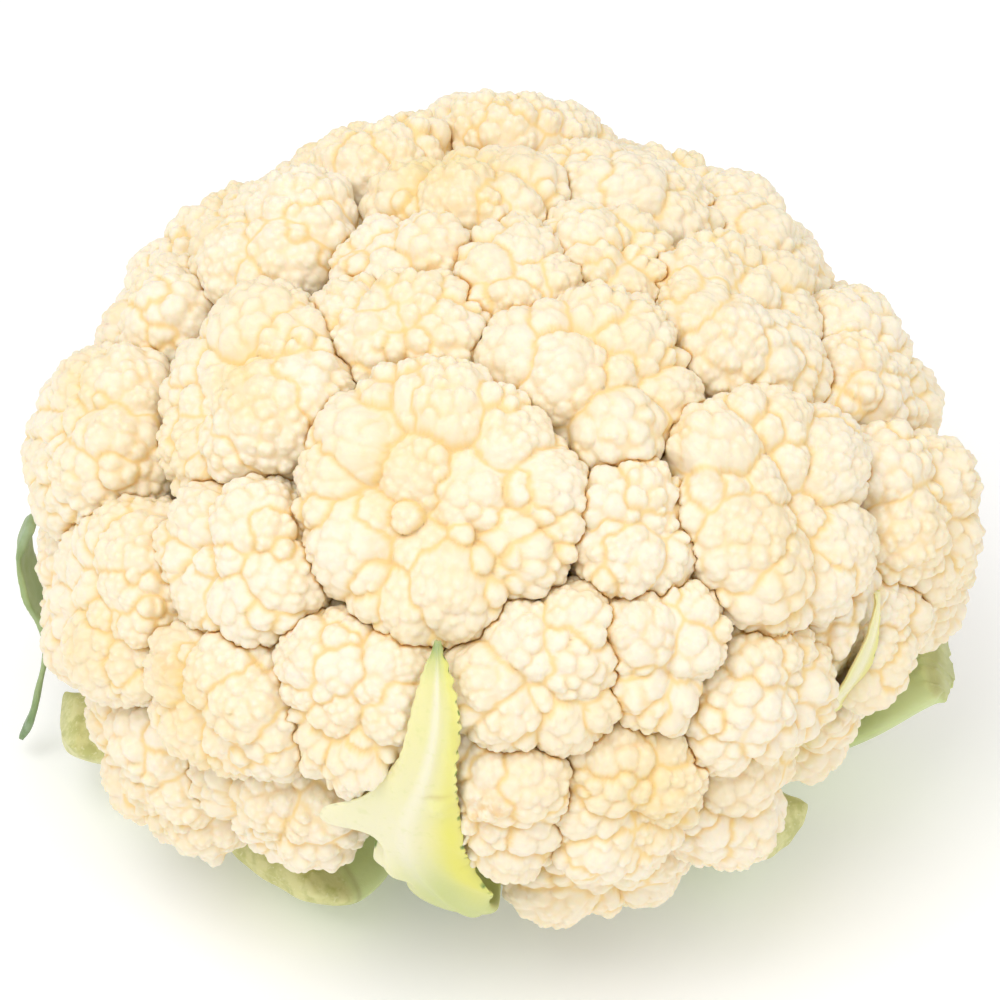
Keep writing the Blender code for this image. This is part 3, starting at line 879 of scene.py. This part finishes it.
def outer_leaf_material():
    """Old leaf: blue-green with a waxy bloom outside, darker inside."""
    n = Nodes("outer_leaf_surface")
    base = n.mix(n.ramp(n.noise(120), 0.35, 0.65), (0.16, 0.26, 0.10), (0.24, 0.34, 0.17))
    bloom = n.ramp(n.noise(260, 3.0), 0.45, 0.70)
    base = n.mix(n.math("MULTIPLY", bloom, 0.5), base, (0.36, 0.46, 0.32))
    base = n.mix(n.value("pale"), base, (0.50, 0.60, 0.28))
    return n.finish(base, 0.5, n.noise(1200, 3.0), 0.00008, 0.1, (0.5, 0.9, 0.2), 0.001)


def build_front_leaf(material):
    """Leaf in front of the curd. Along (u) runs from stalk to tip, across (v) from left to right."""
    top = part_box("inner_leaf_front")[1].z
    blade = Blade("inner_leaf_front", 0.45, 0.80 * top, 260, 91)
    u, v = blade.u, blade.v
    left, right = smooth(-v), smooth(v)
    edge = np.abs(v) ** 3
    upper = smooth((u - 0.42) / 0.12)
    half = ((blade.high - blade.low) / 2)[:, None]

    # Outline: small teeth, a blunt tip, and a belly on the right near the bend.
    teeth = ripple(u, 5, 9, 22, 60)
    blade.slide += np.sign(v) * edge * 0.00020 * teeth * upper * (0.4 + 0.6 * (v > 0))
    blade.slide -= v * half * smooth((u - 0.95) / 0.05) * 0.70
    blade.slide += v * 0.0014 * bell(u, 0.89, 0.08)
    blade.slide += 0.0009 * right * bell(u, 0.62, 0.16)
    blade.slide += 0.0026 * right ** 2 * bell(u, 0.505, 0.040)

    # On the left the blade has a flap, a hollow under it and a rolled bulge below that.
    blade.slide -= 0.0044 * left ** 2 * bell(u, 0.660, 0.045)
    blade.lift += 0.0014 * left ** 2 * bell(u, 0.640, 0.030)
    blade.slide += 0.0054 * left ** 2 * (bell(u, 0.592, 0.028) + 0.95 * bell(u, 0.525, 0.032))
    blade.lift -= 0.0026 * smooth((-v - 0.30) / 0.5) * bell(u, 0.597, 0.026)
    blade.lift += 0.0016 * bell(v, -0.50, 0.35) * bell(u, 0.553, 0.025)

    # Rib, wavy margins, and a blister beside the rib; the tip reaches further up the curd.
    blade.lift += 0.0010 * bell(v, 0.15, 0.18) * smooth((u - 0.25) / 0.2) * (1 - 0.6 * u)
    blade.lift += 0.0006 * edge * ripple(u + 0.1 * v, 8, 6, 5, 12) * upper
    blister = bell(u, BLISTER, 0.020) * bell(v, 0.58, 0.22)
    blade.lift += 0.0012 * blister
    blade.turns = blade.turns + 0.065 * smooth((blade.along - 0.70) / 0.30)
    blade.thick *= 0.62 + 0.38 * (1 - upper)

    right_dots = smooth((v - 0.93) / 0.04) * smooth(ripple(u, 15, 11, 30, 80) * 1.6 - 0.3)
    left_dots = smooth((-v - 0.95) / 0.03) * smooth(ripple(u, 16, 11, 30, 80) * 1.6 - 0.5)
    low_part = 0.9 * (1 - smooth((u - 0.48 - 0.06 * v) / 0.14))
    beside_rib = bell(u, 0.62, 0.16) * 0.85 * smooth((0.45 - v) / 0.5)
    values = {
        "pale": np.maximum(bell(v, 0.05, 0.14 + 0.55 * (1 - u)), beside_rib),
        "green": np.maximum(low_part, smooth((u - 0.93) / 0.05) * 0.6),
        "bright": bell(v, 0.82, 0.28) * upper * (0.60 + 0.4 * bell(u, 0.62, 0.10)) * (1 - 0.5 * blister),
        "dusky": smooth((u - 0.965) / 0.03) * 0.7,
        "dots": (right_dots + left_dots * bell(u, 0.56, 0.10)) * upper,
        "brown": bell(u, BLISTER + 0.022, 0.004) * bell(v, 0.5, 0.3) * 0.30,
    }
    blade_piece(blade, "inner_leaf_front_blade", material, "inner_leaf", ["inner_leaf_front"], values)


def build_right_leaf(material):
    """Small leaf on the right, its left side tucked in by the next floret."""
    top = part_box("inner_leaf_right")[1].z
    blade = Blade("inner_leaf_right", 0.45, 0.80 * top, 180, 41)
    u, v = blade.u, blade.v
    edge = np.abs(v) ** 3
    half = ((blade.high - blade.low) / 2)[:, None]
    blade.slide += np.sign(v) * edge * 0.00020 * ripple(u, 25, 9, 18, 50)
    blade.slide -= v * half * smooth((u - 0.88) / 0.12) * 0.85
    # The left side reaches towards the next floret and the free side lies over the curd.
    blade.slide += (0.0022 * smooth(v) - 0.0042 * smooth(-v)) * bell(u, 0.76, 0.15)
    blade.lift += (0.0008 * smooth(v) + 0.0012 * smooth(-v)) * bell(u, 0.76, 0.18)
    blade.lift += 0.0005 * bell(v, 0.1, 0.25) + 0.0004 * edge * ripple(u, 28, 6, 5, 12)
    blade.lift += blade.thick * 0.20
    blade.thick *= 0.32
    upper = smooth((u - 0.5) / 0.1)
    values = {
        "pale": bell(v, 0.0, 0.45) * 0.8,
        "green": 1 - smooth((u - 0.30) / 0.2),
        "bright": smooth((v - 0.4) / 0.4) * 0.5,
        "dusky": np.zeros_like(u),
        "dots": smooth((v - 0.80) / 0.1) * smooth(ripple(u, 35, 9, 25, 60) * 1.4 - 0.5) * upper,
        "brown": smooth((-v - 0.86) / 0.10) * upper * 0.6,
    }
    blade_piece(blade, "inner_leaf_right_blade", material, "inner_leaf", ["inner_leaf_right"], values)


def build_scrap(material):
    """Torn scrap of an outer leaf under the front leaf."""
    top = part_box("leaf_scrap_front")[1].z
    blade = Blade("leaf_scrap_front", 0.5, top + 0.03, 60, 31)
    u, v = blade.u, blade.v
    blade.slide += np.sign(v) * np.abs(v) ** 2 * 0.0011 * ripple(u, 41, 9, 3, 12)
    blade.lift += 0.0006 * ripple(u + 0.3 * v, 44, 6, 2, 6)
    blade_piece(blade, "leaf_scrap_front_blade", material, "outer_leaf", ["leaf_scrap_front"],
                {"pale": bell(v, 0, 0.3) * 0.4})


def build_leaf_stalks(material):
    """Cut leaf stalks; the long one on the right ends in a torn edge, the others in a cut face."""
    for seed, name in enumerate(n for n in leaf_names if n.startswith(("leaf_stump", "leaf_stalk"))):
        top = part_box(name)[1].z
        blade = Blade(name, 0.5, top + 0.045, 120, 61, softness=3.0)
        u, v = blade.u, blade.v
        blade.lift += 0.00025 * ripple(u + 0.35 * v, 60 + seed, 7, 1, 4)
        torn = name == "leaf_stalk_right"
        # The cut end keeps the stalk's full thickness.
        held = int(0.86 * len(blade.along))
        blade.thick[held:] = np.maximum(blade.thick[held:], blade.thick[held])
        blade.thick *= (1 - 0.5 * smooth((blade.along - 0.94) / 0.06) ** 3)[:, None]
        if torn:
            knot = smooth((u - 0.93) / 0.05)
            blade.slide += knot * 0.0006 * ripple(u + 0.2 * v, 81, 8, 4, 14)
            blade.lift += knot * 0.0005 * ripple(0.4 * v + 0.3 * u, 82, 8, 2, 8)
            values = {"cut": 0.4 * smooth((u - 0.955) / 0.03), "brown": 0.25 * smooth((u - 0.965) / 0.02)}
        else:
            values = {"cut": smooth((u - 0.82) / 0.07), "brown": 0.35 * bell(u, 0.83, 0.012)}
        blade_piece(blade, name + "_skin", material, "leaf_stalk", [name], values, least=0.10)


def fine_copy(name, piece_name, size, rounds):
    """Evenly meshed, softened copy of a CAD piece."""
    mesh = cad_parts[name].data.copy()
    piece = bpy.data.objects.new(piece_name, mesh)
    bpy.context.scene.collection.objects.link(piece)
    bm = bmesh.new()
    bm.from_mesh(mesh)
    bmesh.ops.remove_doubles(bm, verts=bm.verts, dist=0.00001)
    bm.to_mesh(mesh)
    bm.free()
    even = piece.modifiers.new("even", "REMESH")
    even.mode = "VOXEL"
    even.voxel_size = size
    soft = piece.modifiers.new("soft", "SMOOTH")
    soft.factor = 0.5
    soft.iterations = rounds
    bpy.context.view_layer.update()
    fine = bpy.data.meshes.new_from_object(piece.evaluated_get(bpy.context.evaluated_depsgraph_get()))
    bpy.data.objects.remove(piece)
    fine.name = piece_name
    fine.materials.clear()
    fine.polygons.foreach_set("use_smooth", np.ones(len(fine.polygons), bool))
    for key in list(fine.attributes.keys()):
        if key.startswith("UV"):
            fine.attributes.remove(fine.attributes[key])
    return fine


def mesh_points(mesh, kind="co"):
    flat = np.zeros(len(mesh.vertices) * 3, np.float32)
    mesh.vertices.foreach_get(kind, flat)
    return flat.reshape(-1, 3).astype(float)


def build_torn_leaf(material):
    """Left outer leaf with the strip that hangs from it, grown as one piece."""
    mesh = fine_copy("leaf_left_torn", "leaf_left_torn_blade", 0.00042, 8)
    points, normals = mesh_points(mesh), mesh_points(mesh, "normal")
    low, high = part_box("leaf_left_torn")
    height = (points[:, 2] - low.z) / (high.z - low.z)
    wave = waves(points, 0.007, 91)
    fine = waves(points, 0.0024, 92)
    points += normals * (0.00018 * wave + 0.00010 * fine)[:, None]
    points[:, 1] += 0.0009 * waves(points, 0.006, 93) * smooth(height * 1.2)
    mesh.vertices.foreach_set("co", points.astype(np.float32).ravel())
    mesh.update()
    add_values(mesh, "pale", smooth(0.5 + 0.6 * waves(points, 0.012, 94)) * 0.55)
    add_piece("leaf_left_torn_blade", mesh, material, ["leaf_left_torn"])


def build_stalk(material):
    """The stalk, with its flat cut foot."""
    mesh = fine_copy("stalk", "stalk_skin", 0.0007, 14)
    points, normals = mesh_points(mesh), mesh_points(mesh, "normal")
    side = smooth((points[:, 2] - 0.0012) / 0.003)
    points += normals * (side * 0.0004 * waves(points, 0.012, 97))[:, None]
    points[:, 2] = np.maximum(points[:, 2], 0)
    mesh.vertices.foreach_set("co", points.astype(np.float32).ravel())
    mesh.update()
    add_values(mesh, "cut", 1 - smooth((points[:, 2] - 0.0003) / 0.0015))
    add_values(mesh, "brown", 0.4 * bell(np.hypot(points[:, 0], points[:, 1]), 0.0185, 0.0012)
               * (1 - smooth((points[:, 2] - 0.0003) / 0.003)))
    add_piece("stalk_skin", mesh, material, ["stalk"])


inner_leaf = leaf_material()
cut_stalk = stalk_material("leaf_stalk_surface", (0.66, 0.75, 0.36), (0.58, 0.67, 0.29))
outer_leaf = outer_leaf_material()
build_front_leaf(inner_leaf)
build_right_leaf(inner_leaf)
build_scrap(outer_leaf)
build_leaf_stalks(cut_stalk)
build_torn_leaf(outer_leaf)
build_stalk(stalk_material("stalk_surface", (0.66, 0.70, 0.42), (0.72, 0.74, 0.50)))

# ---------------------------------------------------------------- floor, light and camera
scene = bpy.context.scene
floor_mesh = bpy.data.meshes.new("floor")
corners = [(x * FLOOR_HALF, y * FLOOR_HALF, 0) for x, y in ((-1, -1), (1, -1), (1, 1), (-1, 1))]
floor_mesh.from_pydata(corners, [], [(0, 1, 2, 3)])
floor = bpy.data.objects.new("floor", floor_mesh)
scene.collection.objects.link(floor)
paint = Nodes("floor_paint")
white = paint.mix(paint.noise(3), (0.93, 0.93, 0.93), (0.95, 0.95, 0.95))
floor_mesh.materials.append(paint.finish(white, 0.8))
paint.shader.inputs["Emission Color"].default_value = (1, 1, 1, 1)
paint.shader.inputs["Emission Strength"].default_value = 0.16

world = bpy.data.worlds.new("studio")
scene.world = world
world.use_nodes = True
world.node_tree.nodes["Background"].inputs["Color"].default_value = (1.0, 1.0, 1.0, 1)
world.node_tree.nodes["Background"].inputs["Strength"].default_value = 0.70

middle = (cad_low + cad_high) / 2


def soft_light(name, azimuth, elevation, distance, size, power):
    lamp = bpy.data.lights.new(name, "AREA")
    lamp.size = size
    lamp.energy = power
    item = bpy.data.objects.new(name, lamp)
    turn, lift = math.radians(azimuth), math.radians(elevation)
    back = Vector((math.sin(turn) * math.cos(lift), -math.cos(turn) * math.cos(lift), math.sin(lift)))
    item.location = middle + back * distance
    item.rotation_euler = back.to_track_quat("Z", "Y").to_euler()
    scene.collection.objects.link(item)


soft_light("key", -35, 62, 0.9, 0.55, 3.6)
soft_light("fill", 60, 35, 1.1, 0.8, 1.2)

camera_data = bpy.data.cameras.new("camera")
camera = bpy.data.objects.new("camera", camera_data)
scene.collection.objects.link(camera)
scene.camera = camera
aim = Vector((0, 0, AIM_HEIGHT))
towards = Vector((0, -math.cos(CAMERA_ELEVATION), math.sin(CAMERA_ELEVATION)))
camera.location = aim + towards * CAMERA_DISTANCE
camera.rotation_euler = towards.to_track_quat("Z", "Y").to_euler()
camera_data.sensor_width = SENSOR_WIDTH
camera_data.lens = CAMERA_LENS
scene.view_settings.view_transform = "Standard"
